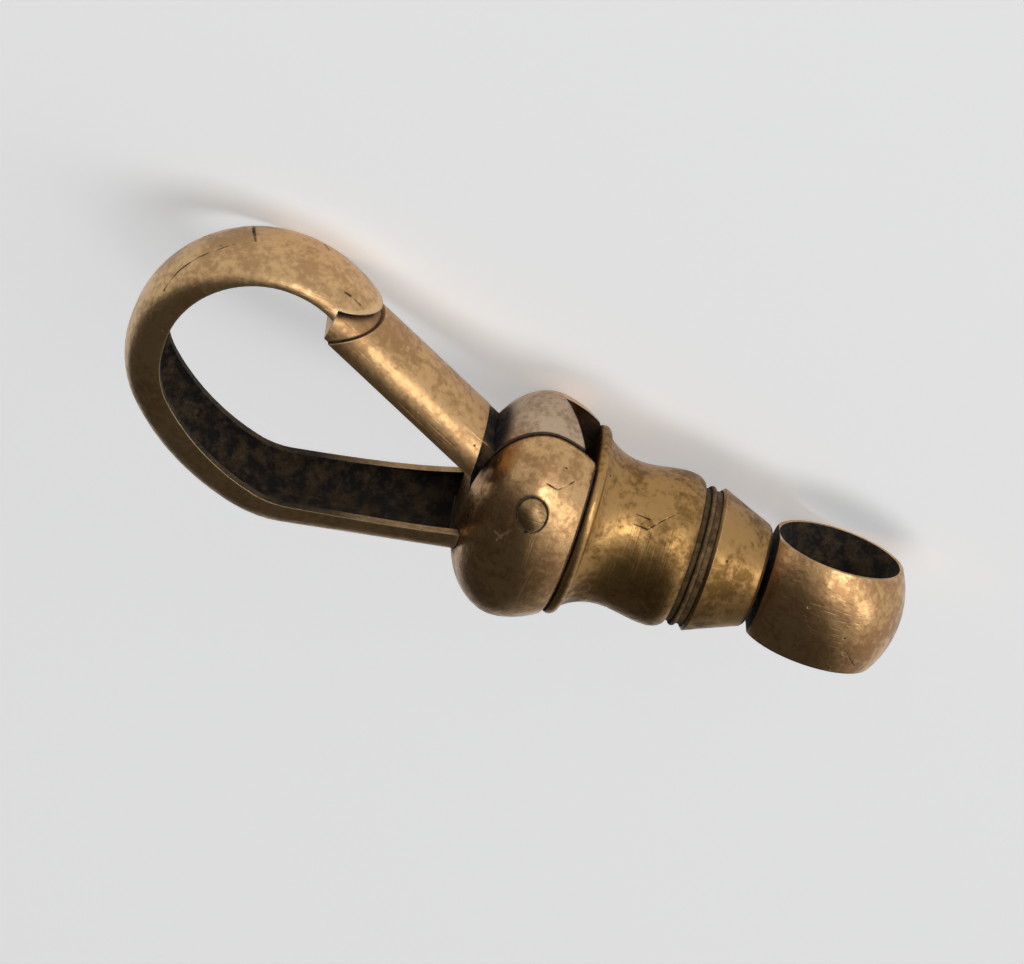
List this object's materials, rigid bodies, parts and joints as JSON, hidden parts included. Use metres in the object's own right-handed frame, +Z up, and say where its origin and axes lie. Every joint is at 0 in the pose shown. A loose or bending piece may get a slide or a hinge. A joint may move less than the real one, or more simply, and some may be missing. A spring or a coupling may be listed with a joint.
{
  "type": "swivel dog clip clasp",
  "caption": "Watch-chain dog clip: a channel hook closed by a sprung gate, on a turned bulb and barrel with a free swivel ring at its end.",
  "frame": {"origin": "centre of the bounding box, on the floor the clasp lies on", "axes": "+X along the clasp towards the swivel ring, the hook at -X, +Y towards the side the gate is on, +Z up"},
  "size_m": [0.0344, 0.0124, 0.0096],
  "materials": {
    "hook_gold": "worn rolled gold, brown patina inside the channel",
    "gate_gold": "worn rolled gold with fine scratches",
    "head_gold": "worn rolled gold, red-brown tarnish at the edges",
    "pin_gold": "pale riveted brass",
    "barrel_gold": "turned rolled gold, olive tarnish",
    "ferrule_gold": "turned rolled gold, olive tarnish",
    "ring_gold": "worn rolled gold, bright rims",
    "stem_brass": "dull brass",
    "spring_steel": "dark spring steel"
  },
  "bodies": {
    "root": {"head": "head_gold", "barrel": "barrel_gold", "ferrule": "ferrule_gold", "hook": "hook_gold", "gate_pin": "pin_gold", "gate_spring": "spring_steel"},
    "gate": {"gate": "gate_gold"},
    "swivel": {"swivel_ring": "ring_gold", "swivel_stem": "stem_brass", "swivel_washer": "stem_brass"}
  },
  "joints": [
    {"name": "gate_hinge", "type": "hinge", "parent": "root", "child": "gate", "pos_m": [0.00065, 0.00042, 0.00357], "axis": [0.0887, 0.5766, 0.8122], "range_deg": [0, 17], "stiffness_Nm_per_rad": 0.004, "springref_deg": -20.05, "deforming": ["gate_spring"]},
    {"name": "ring_swivel", "type": "hinge", "parent": "root", "child": "swivel", "pos_m": [0.01382, -0.00146, 0.00347], "axis": [0.9941, 0, -0.1085], "continuous": true}
  ]
}
